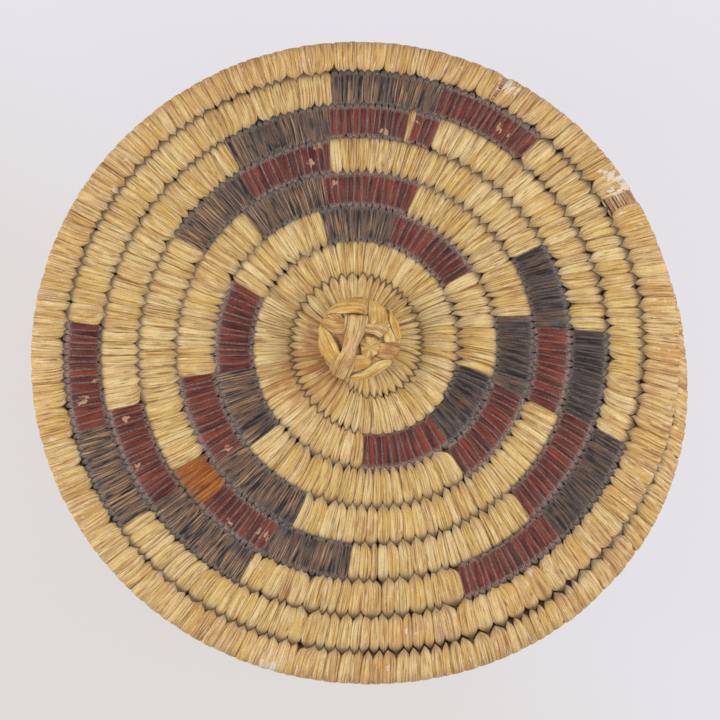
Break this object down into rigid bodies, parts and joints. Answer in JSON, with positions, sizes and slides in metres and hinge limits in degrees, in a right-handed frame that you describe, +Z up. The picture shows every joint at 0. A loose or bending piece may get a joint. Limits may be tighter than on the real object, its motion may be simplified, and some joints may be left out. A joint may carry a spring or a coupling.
{
  "type": "lidded coiled basket",
  "caption": "Round coiled basket of leaf-stitched grass with a cap lid, a plaited knob and a whirl of dyed stitches spiralling out over the lid.",
  "frame": {"origin": "middle of the underside, on the surface that the basket stands on", "axes": "+Z up along the basket's axis, towards the knob; +X and +Y are the picture's right and up"},
  "size_m": [0.2017, 0.199, 0.1425],
  "materials": {
    "natural_leaf": "satin natural leaf strip with lengthwise fibres",
    "bare_grass": "matte bundled grass",
    "red_leaf": "satin maroon dyed leaf, dusty in the joins",
    "black_leaf": "satin black dyed leaf with brown streaks",
    "orange_leaf": "satin orange dyed leaf"
  },
  "bodies": {
    "basket": {"base_start_knot": "natural_leaf", "base_coil": "natural_leaf", "wall_coil": "natural_leaf", "neck_coil": "natural_leaf", "wall_red_stitches_1a": "red_leaf", "wall_black_stitches_1a": "black_leaf", "wall_red_stitches_1b": "red_leaf", "wall_black_stitches_1b": "black_leaf", "wall_red_stitches_1c": "red_leaf", "wall_black_stitches_1c": "black_leaf", "wall_red_stitches_2a": "red_leaf", "wall_black_stitches_2a": "black_leaf", "wall_red_stitches_2b": "red_leaf", "wall_black_stitches_2b": "black_leaf", "wall_red_stitches_2c": "red_leaf", "wall_black_stitches_2c": "black_leaf"},
    "lid": {"lid_coil": "natural_leaf", "lid_skirt_coil": "natural_leaf", "lid_orange_stitches": "orange_leaf", "lid_red_stitches_1a": "red_leaf", "lid_black_stitches_1a": "black_leaf", "lid_red_stitches_1b": "red_leaf", "lid_black_stitches_1b": "black_leaf", "lid_red_stitches_1c": "red_leaf", "lid_black_stitches_1c": "black_leaf", "lid_red_stitches_2a": "red_leaf", "lid_black_stitches_2a": "black_leaf", "lid_red_stitches_2b": "red_leaf", "lid_black_stitches_2b": "black_leaf", "lid_red_stitches_2c": "red_leaf", "lid_black_stitches_2c": "black_leaf", "lid_red_stitches_3a": "red_leaf", "lid_black_stitches_3a": "black_leaf", "lid_red_stitches_3b": "red_leaf", "lid_black_stitches_3b": "black_leaf", "lid_red_stitches_3c": "red_leaf", "lid_black_stitches_3c": "black_leaf", "lid_red_stitches_4a": "red_leaf", "lid_black_stitches_4a": "black_leaf", "lid_red_stitches_4b": "red_leaf", "lid_black_stitches_4b": "black_leaf", "lid_red_stitches_4c": "red_leaf", "lid_black_stitches_4c": "black_leaf", "lid_red_stitches_5a": "red_leaf", "lid_black_stitches_5a": "black_leaf", "lid_red_stitches_5b": "red_leaf", "lid_black_stitches_5b": "black_leaf", "lid_red_stitches_5c": "red_leaf", "lid_black_stitches_5c": "black_leaf", "knob_core": "bare_grass", "knob_strip_across_1": "natural_leaf", "knob_strip_across_2": "natural_leaf", "knob_strip_across_3": "natural_leaf", "knob_strip_along_1": "natural_leaf", "knob_strip_along_2": "natural_leaf", "knob_strip_along_3": "natural_leaf"}
  },
  "joints": [
    {"name": "lid_lift", "type": "slide", "parent": "basket", "child": "lid", "axis": [0, 0, 1], "range_m": [0, 0.15]}
  ]
}
